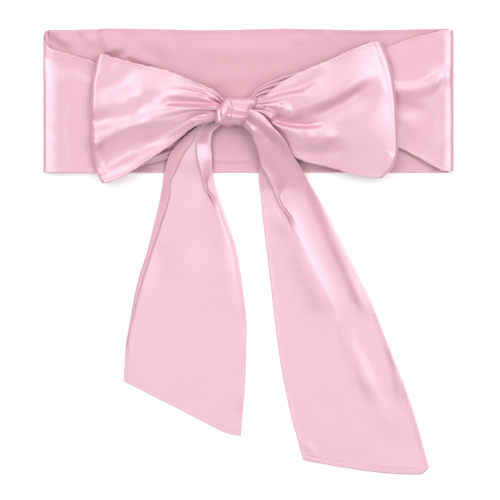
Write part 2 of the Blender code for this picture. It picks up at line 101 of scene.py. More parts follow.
def satin(name, hex_text, roughness, ior, grain, thread_bump, cloudiness):
    """Woven polyester satin, dyed pale pink.

    Long floats lie along the strip, so the shine spreads across them in soft
    bands: the tangent is the strip's own length from its UV map.  The threads
    are 0.1 mm apart, too fine to show, and are drawn 0.5 mm apart.
    """
    material = bpy.data.materials.new(name)
    material.use_nodes = True
    tree = material.node_tree
    shader = tree.nodes["Principled BSDF"]
    shader.inputs["Roughness"].default_value = roughness
    shader.inputs["Anisotropic"].default_value = grain
    shader.inputs["Anisotropic Rotation"].default_value = 0.25
    shader.inputs["Sheen Weight"].default_value = 0.15
    shader.inputs["Sheen Roughness"].default_value = 0.4
    shader.inputs["IOR"].default_value = ior
    shader.inputs["Specular IOR Level"].default_value = 1.0
    place = add_node(tree, "ShaderNodeTexCoord")
    tangent = add_node(tree, "ShaderNodeTangent", {"direction_type": "UV_MAP", "uv_map": "cloth"})
    tree.links.new(tangent.outputs["Tangent"], shader.inputs["Tangent"])
    stretched = add_node(tree, "ShaderNodeMapping",
                         inputs={"Scale": (FLOATS_PER_METRE, THREADS_PER_METRE, 1.0)},
                         links={"Vector": place.outputs["UV"]})
    threads = add_node(tree, "ShaderNodeTexNoise", inputs={"Scale": 1.0, "Detail": 2.0},
                       links={"Vector": stretched.outputs["Vector"]})
    dye = add_node(tree, "ShaderNodeTexNoise", inputs={"Scale": DYE_PATCHES_PER_METRE, "Detail": 3.0},
                   links={"Vector": place.outputs["Object"]})
    base = linear_colour(hex_text)
    deep = tuple(channel * (1.0 - cloudiness) for channel in base[:3]) + (1.0,)
    colour = add_node(tree, "ShaderNodeMix", {"data_type": "RGBA"},
                      links={0: dye.outputs["Fac"]})
    colour.inputs[6].default_value = base
    colour.inputs[7].default_value = deep
    tree.links.new(colour.outputs[2], shader.inputs["Base Color"])
    bump = add_node(tree, "ShaderNodeBump", inputs={"Strength": thread_bump, "Distance": 0.0001},
                    links={"Height": threads.outputs["Fac"]})
    tree.links.new(bump.outputs["Normal"], shader.inputs["Normal"])
    return material


SATIN_FACE = satin("polyester_satin_face", FACE_HEX, 0.38, 2.15, 0.5, 0.16, 0.05)
SATIN_REVERSE = satin("crepe_back_of_satin", REVERSE_HEX, 0.48, 1.7, 0.4, 0.20, 0.08)


def smooth_columns(table, places):
    """Every column of the table at the given places of its first column.

    A monotone cubic: it bends smoothly and never swings past a row's value.
    """
    rows = np.array(table, dtype=float)
    knots = rows[:, 0]
    steps = np.diff(knots)[:, None]
    rises = np.diff(rows, axis=0) / steps
    slopes = np.zeros_like(rows)
    before = rises[:-1]
    after = rises[1:]
    same_way = before * after > 0.0
    total = np.where(same_way, before + after, 1.0)
    slopes[1:-1] = np.where(same_way, 2.0 * before * after / total, 0.0)
    slopes[0] = rises[0]
    slopes[-1] = rises[-1]
    spots = np.clip(np.asarray(places, dtype=float), knots[0], knots[-1])
    left = np.clip(np.searchsorted(knots, spots, side="right") - 1, 0, len(knots) - 2)
    width = steps[left]
    share = ((spots - knots[left])[:, None]) / width
    low = rows[left]
    high = rows[left + 1]
    value = low * (1 + 2 * share) * (1 - share) ** 2
    value += slopes[left] * width * share * (1 - share) ** 2
    value += high * share ** 2 * (3 - 2 * share)
    value += slopes[left + 1] * width * share ** 2 * (share - 1)
    return value


def ease(value, start, end):
    """0 before start, 1 after end, and a smooth climb between them."""
    share = np.clip((value - start) / (end - start), 0.0, 1.0)
    return share * share * (3.0 - 2.0 * share)


def relief_of(folds, x, y):
    """Height that the listed folds add at each plan position, in mm.

    Each fold runs on a curve through its three points.  It is a soft ridge, or
    a trough where its height is below 0, and its two flanks have their own
    widths: left and right as one goes from start to end.
    """
    total = np.zeros(x.shape)
    steps = np.linspace(0.0, 1.0, 33)
    for fold in folds:
        first, via, last = (np.array(point, dtype=float) for point in fold[:3])
        control = 2.0 * via - (first + last) / 2.0
        curve = ((1 - steps) ** 2)[:, None] * first + (2 * steps * (1 - steps))[:, None] * control
        curve = curve + (steps ** 2)[:, None] * last
        nearest = np.full(x.shape, 1e9)
        along = np.zeros(x.shape)
        side = np.zeros(x.shape)
        for i in range(len(steps) - 1):
            ax, ay = curve[i]
            bx, by = curve[i + 1] - curve[i]
            length = bx * bx + by * by + 1e-9
            share = np.clip(((x - ax) * bx + (y - ay) * by) / length, 0.0, 1.0)
            dx = x - ax - bx * share
            dy = y - ay - by * share
            distance = dx * dx + dy * dy
            closer = distance < nearest
            nearest = np.where(closer, distance, nearest)
            along = np.where(closer, (i + share) / (len(steps) - 1), along)
            side = np.where(closer, bx * dy - by * dx, side)
        width = np.where(side > 0.0, fold.left, fold.right)
        window = np.ones(x.shape)
        if fold.fade_in > 0.0:
            window = window * ease(along, 0.0, fold.fade_in)
        if fold.fade_out > 0.0:
            window = window * (1.0 - ease(along, 1.0 - fold.fade_out, 1.0))
        total = total + fold.height * window * np.exp(-nearest / width ** 2)
    return total


def rumple(x, y, height, spacing, seed):
    """Slight unevenness of limp cloth: a few crossing waves, in mm."""
    chance = np.random.default_rng(seed)
    total = np.zeros(x.shape)
    waves = 9
    for _ in range(waves):
        angle = chance.uniform(0.0, np.pi)
        length = spacing * chance.uniform(0.6, 1.6)
        phase = chance.uniform(0.0, 2.0 * np.pi)
        reach = x * np.cos(angle) + y * np.sin(angle)
        total = total + np.sin(2.0 * np.pi * reach / length + phase)
    return total * height / math.sqrt(waves)


def hem_rise(from_edge):
    """The doubled hem's extra height, with a dip where its stitches pull."""
    band = 1.0 - ease(from_edge, HEM_WIDTH - 0.5, HEM_WIDTH + 0.7)
    dip = np.exp(-((from_edge - HEM_WIDTH + STITCH_DIP_INSET) / STITCH_DIP_WIDTH) ** 2)
    return HEM_RISE * band - STITCH_DIP * dip


def hem_spaced(count, zone):
    """Places from 0 to 1, close together in the hem zone at both ends."""
    edge = np.linspace(0.0, zone, HEM_COLUMNS, endpoint=False)
    inner = np.linspace(zone, 1.0 - zone, count - 2 * HEM_COLUMNS)
    return np.concatenate([edge, inner, 1.0 - edge[::-1]])


def cloth_sheet(name, points, upper, under):
    """A grid of points in mm as a sheet with a UV map in metres of cloth.

    upper is the material of the side that faces up where the sheet lies open,
    and under that of its other side, which shows where an edge is turned over.
    """
    rows, columns = points.shape[:2]
    corner = (np.arange(rows - 1)[:, None] * columns + np.arange(columns - 1)).ravel()
    quads = np.stack([corner, corner + columns, corner + columns + 1, corner + 1], axis=1)
    down_rows = points[1:, :-1] - points[:-1, :-1]
    along_row = points[:-1, 1:] - points[:-1, :-1]
    if np.cross(down_rows, along_row)[:, :, 2].sum() < 0.0:
        quads = quads[:, ::-1]
    mesh = bpy.data.meshes.new(name)
    mesh.from_pydata((points.reshape(-1, 3) * MM).tolist(), [], quads.tolist())
    down = np.linalg.norm(np.diff(points, axis=0), axis=2).mean(axis=1)
    over = np.linalg.norm(np.diff(points, axis=1), axis=2).mean(axis=0)
    u = np.concatenate([[0.0], np.cumsum(down)]) * MM
    v = np.concatenate([[0.0], np.cumsum(over)]) * MM
    flat = np.stack(np.meshgrid(u, v, indexing="ij"), axis=2).reshape(-1, 2)
    layer = mesh.uv_layers.new(name="cloth")
    layer.data.foreach_set("uv", flat[quads.ravel()].ravel())
    mesh.shade_smooth()
    mesh.materials.append(upper)
    mesh.materials.append(under)
    piece = bpy.data.objects.new(name, mesh)
    bpy.context.scene.collection.objects.link(piece)
    wall = piece.modifiers.new("cloth thickness", "SOLIDIFY")
    wall.thickness = SHEET * MM
    wall.offset = 0.0
    wall.material_offset = 1
    return piece


def sewing_thread():
    """Spun polyester thread: it shows as a fine dotted line, a shade paler than the satin."""
    material = bpy.data.materials.new("polyester_sewing_thread")
    material.use_nodes = True
    tree = material.node_tree
    shader = tree.nodes["Principled BSDF"]
    shader.inputs["Roughness"].default_value = 0.55
    place = add_node(tree, "ShaderNodeTexCoord")
    plies = add_node(tree, "ShaderNodeTexNoise", inputs={"Scale": PLIES_PER_METRE, "Detail": 1.0},
                     links={"Vector": place.outputs["Object"]})
    colour = add_node(tree, "ShaderNodeMix", {"data_type": "RGBA"},
                      links={0: plies.outputs["Fac"]})
    colour.inputs[6].default_value = linear_colour(THREAD_HEX)
    colour.inputs[7].default_value = linear_colour(FACE_HEX)
    tree.links.new(colour.outputs[2], shader.inputs["Base Color"])
    return material


THREAD = sewing_thread()


def seam_line(points, far_side=False):
    """Where the hem's stitches run: a line at their distance in from one edge."""
    line = []
    for row in (points[:, ::-1] if far_side else points):
        steps = np.linalg.norm(np.diff(row, axis=0), axis=1)
        arc = np.concatenate([[0.0], np.cumsum(steps)])
        inset = STITCH_INSET * min(arc[-1] / 60.0, 1.0)
        line.append([np.interp(inset, arc, row[:, axis]) for axis in range(3)])
    return np.array(line)


def stitches(name, lines, node):
    """One straight stitch after another along each line, tapered at both ends."""
    build = bmesh.new()
    for line in lines:
        arc = np.concatenate([[0.0], np.cumsum(np.linalg.norm(np.diff(line, axis=0), axis=1))])
        for start in np.arange(FIRST_STITCH, arc[-1] - STITCH_LENGTH, STITCH_PITCH):
            ends = [np.array([np.interp(place, arc, line[:, axis]) for axis in range(3)])
                    for place in (start, start + STITCH_LENGTH)]
            run = ends[1] - ends[0]
            side = np.cross(run, (0.0, 0.0, 1.0))
            side = side / (np.linalg.norm(side) + 1e-9) * THREAD_RADIUS
            up = np.array([0.0, 0.0, THREAD_RADIUS])
            lift = np.array([0.0, 0.0, SHEET / 2.0])
            tips = [build.verts.new((end + lift - up * 0.5) * MM) for end in ends]
            rings = [[build.verts.new((ends[0] + run * share + lift + way) * MM)
                      for way in (side, up, -side, -up)] for share in (0.25, 0.75)]
            for i in range(4):
                j = (i + 1) % 4
                build.faces.new((tips[0], rings[0][i], rings[0][j]))
                build.faces.new((rings[0][i], rings[1][i], rings[1][j], rings[0][j]))
                build.faces.new((tips[1], rings[1][j], rings[1][i]))
    bmesh.ops.recalc_face_normals(build, faces=build.faces)
    mesh = bpy.data.meshes.new(name)
    build.to_mesh(mesh)
    build.free()
    mesh.materials.append(THREAD)
    piece = bpy.data.objects.new(name, mesh)
    bpy.context.scene.collection.objects.link(piece)
    dress(piece, node)
    return piece


def dress(piece, node):
    """The piece moves with the sash and shows in place of its plain solid."""
    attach(piece, "root")
    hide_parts(node)


BACK_FOLDS = [
    Fold((-211, 230), (-196, 223), (-182, 209), 3.2, 7.0, 6.0, 0.1, 0.4),
    Fold((-156, 232), (-146, 216), (-140, 200), 3.6, 13.0, 8.0, 0.2, 0.3),
    Fold((-178, 232), (-168, 222), (-160, 208), 1.8, 6.0, 5.0, 0.2, 0.4),
    Fold((49, 226), (54, 220), (56, 212), 0.9, 5.0, 5.0, 0.4, 0.4),
    Fold((80, 229), (82, 224), (84, 218), 0.9, 4.0, 4.0, 0.3, 0.4),
    Fold((-130, 208), (-112, 199), (-90, 190), 2.0, 9.0, 5.0, 0.3, 0.3),
    Fold((-112, 228), (-96, 214), (-70, 206), 1.8, 14.0, 8.0, 0.2, 0.4),
    Fold((-60, 222), (-10, 206), (70, 214), 1.8, 18.0, 10.0, 0.3, 0.3),
    Fold((-60, 176), (0, 182), (60, 200), 1.6, 14.0, 9.0, 0.3, 0.3),
    Fold((-44, 95.2), (-14, 94.6), (14, 95.4), 0.9, 1.4, 3.0, 0.2, 0.2),
]


def back_panel_points():
    """Grid of points of the belt's stretch behind, flat with a slightly wavy upper edge."""
    along, across = np.meshgrid(
        np.linspace(-1.0, 1.0, 201), hem_spaced(101, HEM_ZONE / BELT_WIDTH))
    x = along * BACK_END
    wander = 0.8 * (np.sin(along * 1.25 * 2.0 * np.pi) - 1.0) * across
    y = BELT_LOWER_EDGE + BELT_WIDTH * across + wander
    from_edge = np.minimum(across, 1.0 - across) * BELT_WIDTH
    lift = relief_of(BACK_FOLDS, x, y) + rumple(x, y, 0.35, 60.0, 3) + LEAST_LIFT
    z = SHEET / 2.0 + REST_GAP + np.maximum(lift, 0.0) + hem_rise(from_edge)
    return np.stack([x, y, z], axis=2)


back_points = back_panel_points()
back_panel = cloth_sheet("back_panel_satin", back_points, SATIN_REVERSE, SATIN_FACE)
dress(back_panel, "back_panel")
crosswise = back_points.transpose(1, 0, 2)
back_seams = stitches("back_panel_stitches", [seam_line(crosswise), seam_line(crosswise, True)],
                      "back_panel")

# Front panels: the strip comes round each side fold and lies over the back
# panel, face side up, gathering to the knot.  One length of satin with the
# back panel, bent softly over itself at each side of the belt.

FOLD_RADIUS = 4.5
TURN_STEPS = 24
PUCKER_DEPTH = 0.28      # how far the hems' stitches draw the edges in
LEFT_PANEL = [
    Section(-0.06, -14, 152, -14, 138, 9.0, 9.0, 9.0, 3.5),
    Section(0.00, -24, 153, -24, 136, 5.0, 5.0, 5.0, 1.8),
    Section(0.10, -37, 157, -38, 131, 4.8, 5.0, 4.8, 2.6),
    Section(0.20, -60, 163, -61, 111, 4.6, 4.8, 4.6, 3.2),
    Section(0.33, -84, 171, -84, 95, 4.4, 4.4, 4.4, 3.0),
    Section(0.48, -112, 181, -112, 87, 4.2, 4.2, 4.2, 2.4),
    Section(0.62, -140, 190, -140, 81.5, 4.6, 4.6, 4.2, 1.0),
    Section(0.72, -158, 195.5, -158, 81, 6.2, 6.0, 5.6, 0.1),
    Section(0.80, -172, 200, -172, 81, 7.6, 7.5, 7.1, 0.0),
    Section(0.88, -182, 203, -182, 81, 8.7, 8.7, 8.3, 0.0),
    Section(0.95, -190, 205.5, -190, 81, 9.2, 9.2, 8.8, 0.0),
    Section(1.00, -196, 207.5, -196, 81, 9.3, 9.3, 8.9, 0.0),
]
RIGHT_PANEL = [
    Section(-0.06, -12, 153, -12, 139, 9.0, 9.0, 9.0, 3.5),
    Section(0.00, -1, 154, -1, 137, 5.0, 5.0, 5.0, 1.8),
    Section(0.10, 16, 160, 16, 135, 4.8, 5.0, 4.8, 2.6),
    Section(0.20, 38, 167, 43, 133, 4.6, 5.0, 4.6, 3.2),
    Section(0.33, 64, 179, 70, 128, 4.4, 4.6, 4.4, 3.2),
    Section(0.48, 92, 191, 98, 121, 4.4, 4.4, 4.4, 3.0),
    Section(0.62, 119, 202, 127, 114, 4.4, 4.4, 4.4, 2.0),
    Section(0.75, 148, 213, 158, 106, 5.8, 6.0, 4.6, 0.0),
    Section(0.86, 172, 221.5, 180, 94.5, 8.2, 8.4, 7.0, 0.0),
    Section(0.94, 192, 226.5, 195, 86, 9.0, 9.2, 8.4, 0.0),
    Section(1.00, 202, 229, 202, 82.5, 9.0, 9.2, 8.6, 0.0),
]
LEFT_SIDE = [Bulge(0.0, 0.0, 17.0), Bulge(0.5, 0.0, 17.0), Bulge(1.0, 0.0, 17.0)]
RIGHT_SIDE = [Bulge(0.0, 0.0, 11.0), Bulge(0.5, 0.0, 11.0), Bulge(1.0, 0.0, 11.0)]
LEFT_PANEL_FOLDS = [
    Fold((-206, 199), (-186, 191), (-160, 186), -1.6, 6.0, 12.0, 0.0, 0.0),
    Fold((-186, 176), (-193, 130), (-189, 84), -0.7, 6.0, 9.0, 0.3, 0.0),
    Fold((-200, 172), (-201, 150), (-199, 128), 0.5, 4.0, 4.0, 0.3, 0.3),
]
RIGHT_PANEL_FOLDS = [
    Fold((140, 171.5), (182, 169), (206, 196), 3.2, 6.0, 7.0, 0.0, 0.25),
    Fold((140, 148), (168, 147), (198, 133), -3.4, 10.0, 12.0, 0.0, 0.5),
    Fold((160, 206), (182, 203), (198, 186), -1.0, 14.0, 12.0, 0.3, 0.4),
    Fold((196, 160), (199, 135), (197, 88), -0.7, 7.0, 12.0, 0.3, 0.1),
    Fold((150, 125), (178, 112), (200, 92), -1.0, 8.0, 8.0, 0.2, 0.2),
]


def strip_points(sections, folds, tip, outward, radius, waves, rows, columns, seed, turn_lift=0.0):
    """Grid of points of a strip from the knot to its far fold, turned under there.

    outward is -1 where the fold lies to the left and 1 where it lies to the
    right.  radius is half the bend's height; the tip table says how far the
    bend starts beyond the last section, and how far out it reaches from there.
    With a radius of 0 the strip just ends at its last section.
    turn_lift is how far the upper edge moves in Y while it goes round the bend.
    """
    along = np.linspace(sections[0].along, 1.0, rows)[:, None]
    across = hem_spaced(columns, HEM_ZONE / BELT_WIDTH)[None, :]
    at = Section(*smooth_columns(sections, along[:, 0]).T[:, :, None])
    _, bulge, bend = smooth_columns(tip, across[0]).T
    x = at.upper_x * (1 - across) + at.lower_x * across + outward * bulge * along ** 2
    y = at.upper_y * (1 - across) + at.lower_y * across
    pucker = np.sin(along * 70.0 + seed) + 0.7 * np.sin(along * 113.0 + 2.0 * seed)
    y = y + PUCKER_DEPTH * pucker * (np.exp(-across * 25.0) - 0.6 * np.exp((across - 1.0) * 25.0))
    crown = at.middle_z - (at.upper_z + at.lower_z) / 2.0
    z = at.upper_z * (1 - across) + at.lower_z * across + crown * 4.0 * across * (1 - across)
    uneven = across + 0.03 * np.sin(3.0 * across * np.pi + along * 4.0 + seed)
    pleats = 0.75 * np.sin(2 * np.pi * waves * uneven + seed)
    pleats = pleats + 0.45 * np.sin(2 * np.pi * 1.6 * waves * uneven + 2.0 * along + 2.0 * seed)
    z = z + at.wave * pleats * np.sin(np.pi * across) ** 0.5
    span = np.hypot(at.upper_x - at.lower_x, at.upper_y - at.lower_y)
    from_edge = np.minimum(across, 1.0 - across) * span
    relief = relief_of(folds, x, y) + rumple(x, y, 0.18, 26.0, seed)
    relief = relief + hem_rise(from_edge) * np.minimum(span / 60.0, 1.0)
    points = np.stack([x, y, z + relief], axis=2)
    if radius <= 0.0:
        return points
    turn = []
    for angle in np.linspace(0.0, math.pi, TURN_STEPS + 1)[1:]:
        left_of_folds = (1.0 + math.cos(angle)) / 2.0
        row = points[-1].copy()
        row[:, 0] += outward * bend * math.sin(angle)
        share = min(1.4 * (1.0 - left_of_folds), 1.0)
        row[:, 1] += turn_lift * share * (1.0 - across[0]) ** 2
        height = (z[-1] - end_height(z[-1], radius)) / 2.0
        row[:, 2] = z[-1] + relief[-1] * left_of_folds - height * (1.0 - math.cos(angle))
        turn.append(row)
    return np.concatenate([points, np.stack(turn)], axis=0)


def end_height(top, radius):
    """Height at which the bend ends: one diameter down, but not into the surface."""
    return np.maximum(top - 2.0 * radius, SHEET / 2.0 + REST_GAP)


def hemmed_strip(node, points, skip_rows=20, turn_rows=TURN_STEPS):
    """A strip of satin as its sheet, with the stitches of both its hems."""
    sheet = cloth_sheet(node + "_satin", points, SATIN_FACE, SATIN_REVERSE)
    dress(sheet, node)
    shown = points[skip_rows:len(points) - turn_rows]
    seams = stitches(node + "_stitches", [seam_line(shown), seam_line(shown, True)],
                     node)


hemmed_strip("left_front_panel", strip_points(
    LEFT_PANEL, LEFT_PANEL_FOLDS, LEFT_SIDE, -1, FOLD_RADIUS, 7, 150, 131, 5, 21.5))
hemmed_strip("right_front_panel", strip_points(
    RIGHT_PANEL, RIGHT_PANEL_FOLDS, RIGHT_SIDE, 1, FOLD_RADIUS, 8, 150, 141, 8))

# Left loop of the bow: the strip runs out from the knot, bends softly at the
# loop's tip and comes back behind.  Its folds open from the gathers at the knot.

LOOP_RADIUS = 5.0
LEFT_LOOP_FRONT = [
    Section(-0.08, -14, 152, -14, 142, 20.0, 20.0, 20.0, 5.2),
    Section(0.00, -25, 156, -25, 139, 23.0, 25.0, 22.0, 4.2),
    Section(0.12, -35, 165, -37, 134, 25.0, 28.0, 21.5, 1.6),
    Section(0.27, -55, 174, -54, 129, 22.0, 27.5, 19.5, 0.6),
    Section(0.48, -84, 186, -78, 111, 19.0, 25.0, 18.5, 0.3),
    Section(0.68, -113, 193, -104, 93, 18.0, 22.0, 18.0, 0.0),
    Section(0.85, -136, 199, -129, 77, 17.6, 19.4, 17.4, 0.0),
    Section(1.00, -151, 204, -147, 70, 17.0, 18.0, 16.5, 0.0),
]
LEFT_LOOP_BACK = [
    Section(-0.08, -14, 152, -14, 142, 14.0, 14.0, 14.0, 4.0),
    Section(0.00, -25, 155, -25, 140, 17.0, 17.0, 16.2, 0.8),
    Section(0.12, -35, 162, -37, 137, 16.5, 16.5, 15.5, 1.8),
    Section(0.27, -55, 171, -54, 131, 14.0, 14.0, 13.6, 3.0),
    Section(0.48, -84, 183, -78, 113, 12.4, 12.6, 12.2, 3.8),
    Section(0.68, -113, 190, -104, 95, 10.4, 10.6, 10.4, 2.4),
    Section(0.85, -136, 197, -129, 79, 7.6, 8.4, 7.4, 0.8),
    Section(1.00, -150.5, 204, -146.5, 70, 7.0, 8.0, 6.5, 0.0),
]
LEFT_TIP = [
    Bulge(0.00, 0.0, 5.0),
    Bulge(0.10, 3.5, 5.0),
    Bulge(0.25, 7.5, 5.0),
    Bulge(0.50, 9.5, 5.0),
    Bulge(0.80, 9.0, 5.0),
    Bulge(0.92, 5.0, 5.0),
    Bulge(1.00, 0.0, 5.0),
]
LEFT_LOOP_FOLDS = [
    Fold((-166, 132), (-124, 138), (-94, 158), -2.6, 8.0, 10.0, 0.0, 0.4),
    Fold((-168, 148), (-124, 158), (-84, 176), 1.8, 16.0, 8.0, 0.0, 0.4),
    Fold((-158, 178), (-136, 172), (-110, 175), -2.1, 14.0, 13.0, 0.3, 0.4),
    Fold((-164, 106), (-120, 130), (-58, 136), 3.4, 16.0, 6.0, 0.1, 0.4),
    Fold((-162, 80), (-118, 105), (-58, 125), -4.6, 15.0, 9.0, 0.1, 0.4),
    Fold((-138, 74), (-106, 93), (-62, 119), 1.6, 9.0, 8.0, 0.3, 0.3),
    Fold((-159, 120), (-159, 100), (-150, 76), 2.2, 6.0, 6.0, 0.3, 0.1),
    Fold((-92, 153), (-64, 153.5), (-30, 151.5), -3.4, 3.6, 3.6, 0.4, 0.0),
    Fold((-92, 160), (-64, 160.5), (-28, 155), 2.0, 6.0, 3.0, 0.4, 0.0),
    Fold((-96, 148), (-68, 147), (-28, 148), 2.4, 3.0, 5.0, 0.5, 0.0),
    Fold((-64, 137), (-48, 140.5), (-27, 145), -4.0, 2.8, 2.4, 0.5, 0.0),
    Fold((-60, 129), (-44, 134), (-27, 141), 1.6, 3.0, 2.4, 0.5, 0.0),
    Fold((-48, 164), (-40, 159), (-32, 153), -2.4, 2.2, 2.2, 0.3, 0.0),
]
hemmed_strip("left_loop_front", strip_points(
    LEFT_LOOP_FRONT, LEFT_LOOP_FOLDS, LEFT_TIP, -1, LOOP_RADIUS, 6, 170, 161, 11),
    skip_rows=36)
hemmed_strip("left_loop_back", strip_points(
    LEFT_LOOP_BACK, [], LEFT_TIP, -1, 0.0, 8, 80, 121, 12),
    turn_rows=1)

# Right loop of the bow, made as the left one, wider and with its upper edge
# puckered by the hem; a deep pleat runs into it under the knot.

RIGHT_LOOP_FRONT = [
    Section(-0.08, -12, 152, -12, 142, 20.0, 20.0, 20.0, 4.2),
    Section(0.00, 1, 156, 1, 140, 21.0, 23.0, 18.0, 0.6),
    Section(0.10, 14, 159, 14, 135, 22.0, 26.0, 16.5, 1.0),
    Section(0.25, 34, 174, 34, 108, 21.0, 26.5, 14.4, 0.8),
    Section(0.40, 60, 187, 56, 93, 20.0, 26.5, 14.0, 0.3),
    Section(0.60, 86, 197.5, 84, 86, 19.5, 24.5, 14.5, 0.0),
    Section(0.80, 112, 209, 113, 78, 19.0, 22.0, 15.5, 0.0),
    Section(1.00, 133, 216.5, 134, 75, 17.0, 18.0, 16.0, 0.0),
]
RIGHT_LOOP_BACK = [
    Section(-0.08, -12, 152, -12, 142, 13.0, 13.0, 13.0, 4.0),
    Section(0.00, 1, 159, 1, 141, 13.0, 13.0, 12.0, 0.6),
    Section(0.10, 11, 169, 14, 139, 12.5, 12.5, 11.5, 1.6),
    Section(0.25, 38, 181, 36, 112, 11.5, 11.5, 10.4, 2.2),
    Section(0.40, 60, 187, 58, 96, 11.0, 11.4, 9.6, 2.4),
    Section(0.60, 86, 195, 84, 89, 9.8, 10.4, 8.6, 1.8),
    Section(0.80, 112, 206, 113, 81, 8.0, 9.0, 7.4, 0.4),
    Section(1.00, 132.5, 216.5, 133.5, 75, 7.0, 8.0, 6.0, 0.0),
]
RIGHT_TIP = [
    Bulge(0.00, -4.0, 9.0),
    Bulge(0.10, 0.5, 10.5),
    Bulge(0.25, 7.5, 9.0),
    Bulge(0.50, 14.5, 6.0),
    Bulge(0.80, 16.5, 5.0),
    Bulge(0.90, 12.5, 5.0),
    Bulge(1.00, 0.0, 5.0),
]
RIGHT_LOOP_FOLDS = [
    Fold((6, 152), (36, 159), (72, 160), 2.4, 4.0, 7.0, 0.0, 0.45),
    Fold((12, 158), (50, 166), (84, 192), -2.2, 5.0, 5.0, 0.1, 0.35),
    Fold((44, 178), (64, 187), (86, 194), 0.9, 5.0, 7.0, 0.3, 0.3),
    Fold((30, 141), (86, 160), (132, 192), 1.1, 12.0, 7.0, 0.3, 0.25),
    Fold((40, 134), (90, 147), (142, 182), -4.6, 8.5, 15.0, 0.2, 0.3),
    Fold((22, 136), (52, 130), (84, 132), -5.4, 5.0, 2.8, 0.1, 0.5),
    Fold((56, 116), (77, 117), (100, 121), 2.6, 10.0, 9.0, 0.5, 0.5),
    Fold((40, 114), (72, 100), (106, 114), -2.6, 8.0, 8.0, 0.3, 0.3),
    Fold((14, 149), (25, 144.5), (34, 139), -2.8, 4.0, 4.0, 0.2, 0.4),
    Fold((31, 151), (37.5, 147), (43, 141), 2.0, 4.0, 4.0, 0.4, 0.4),
    Fold((136, 216), (144, 192), (149, 160), -2.6, 3.5, 5.0, 0.1, 0.3),
    Fold((149, 101), (141, 88), (131, 74), 0.9, 4.0, 5.0, 0.1, 0.0),
]
hemmed_strip("right_loop_front", strip_points(
    RIGHT_LOOP_FRONT, RIGHT_LOOP_FOLDS, RIGHT_TIP, 1, LOOP_RADIUS, 4, 170, 151, 15),
    skip_rows=36)
hemmed_strip("right_loop_back", strip_points(
    RIGHT_LOOP_BACK, [], RIGHT_TIP, 1, 0.0, 8, 80, 121, 16),
    turn_rows=1)

# Tails: the strip's two ends, cut on a slant and hemmed.  Each leaves the knot
# pleated, and the pleat opens out as the tail spreads on the surface.

PLEAT_RADIUS = 0.8
BEND_LENGTH = math.pi * PLEAT_RADIUS
FULL_PLEAT = 4.0
SHORTEST_RUN = 0.6
EDGE_STEPS = 12
FLAP_STEPS = 14
MAIN_STEPS = 36
PLEAT_STEPS = 10
NARROW_STEPS = 30
BEND_STEPS = 9
STITCHED_ROWS = slice(30, -4)
END_HEM = (slice(-70, None), slice(6, -6))
PLEAT_SLANT = 0.14       # how steeply, in radians, the hidden layer climbs to the fold
TailSection = namedtuple("TailSection", "along left_x left_y right_x right_y"
                                        " left_z right_z flap shows pleat")
Run = namedtuple("Run", "length start_heading end_heading steps")
Hang = namedtuple("Hang", "across down")
LEFT_TAIL = [
    TailSection(0.00, -28, 148, -18, 137, 9.2, 9.2, 4.2, 3.0, 4.2),
    TailSection(0.05, -41, 141, -29, 130, 9.0, 9.0, 5.0, 5.0, 5.0),
    TailSection(0.10, -56, 127, -38, 121, 8.0, 8.0, 9.0, 10.0, 7.5),
    TailSection(0.15, -71, 114, -39, 108, 6.4, 6.2, 15.0, 15.0, 10.0),
    TailSection(0.19, -82, 100, -38, 96, 4.6, 4.4, 17.0, 15.0, 12.0),
    TailSection(0.25, -87, 81, -37, 79, 2.1, 2.1, 14.0, 11.5, 8.0),
    TailSection(0.29, -89, 69, -35, 68, 1.2, 1.2, 10.0, 10.5, 4.4),
    TailSection(0.34, -92, 52, -30, 52, 0.5, 0.5, 12.5, 11.0, 1.2),
    TailSection(0.40, -97, 32, -23, 32, 0.5, 0.5, 10.5, 12.0, 0.3),
    TailSection(0.49, -104, 3, -13, 2, 0.5, 0.5, 8.0, 12.0, 0.3),
    TailSection(0.59, -115, -32, -7, -34, 0.5, 0.5, 7.5, 14.0, 0.2),
    TailSection(0.71, -123, -73, -2, -80, 0.5, 0.5, 5.0, 14.0, 0.2),
    TailSection(0.83, -128, -105, -3, -125, 0.5, 0.5, 0.6, 14.0, 0.2),
    TailSection(1.00, -130, -136, -8, -193, 0.5, 0.5, 0.2, 14.0, 0.2),
]
RIGHT_TAIL = [
    TailSection(0.00, -16, 138, -5, 149, 23.5, 26.0, 0.0, 4.0, 3.0),
    TailSection(0.05, -6, 129, 13, 141, 21.0, 25.5, 0.0, 4.0, 4.2),
    TailSection(0.10, 1, 123, 26, 127, 18.0, 24.0, 0.0, 3.0, 8.0),
    TailSection(0.15, 5, 113, 38, 114, 13.8, 23.0, 0.0, 1.5, 12.0),
    TailSection(0.19, 9, 103, 44, 102, 10.2, 18.5, 0.0, 1.5, 16.0),
    TailSection(0.24, 11, 90, 53, 88, 6.4, 12.0, 0.0, 2.5, 18.0),
    TailSection(0.29, 11, 76, 62, 72, 3.2, 5.4, 0.0, 10.0, 14.0),
    TailSection(0.36, 13, 55, 75, 50, 0.8, 1.6, 0.0, 18.0, 4.6),
    TailSection(0.45, 16, 24, 91, 18, 0.5, 0.5, 0.0, 28.0, 0.6),
    TailSection(0.56, 21, -17, 109, -17, 0.5, 0.5, 0.0, 42.0, 0.2),
    TailSection(0.68, 26, -60, 130, -60, 0.5, 0.5, 0.0, 58.0, 0.3),
    TailSection(0.79, 32, -108, 149, -108, 0.5, 0.5, 0.0, 66.0, 0.2),
    TailSection(0.90, 41, -157, 169, -160, 0.5, 0.5, 0.0, 70.0, 0.2),
    TailSection(1.00, 57, -218, 188, -226, 0.5, 0.5, 0.0, 70.0, 0.2),
]
LEFT_END = [
    Hang(0.00, 0.0),
    Hang(0.50, 2.0),
    Hang(0.85, 4.0),
    Hang(1.00, 0.0),
]
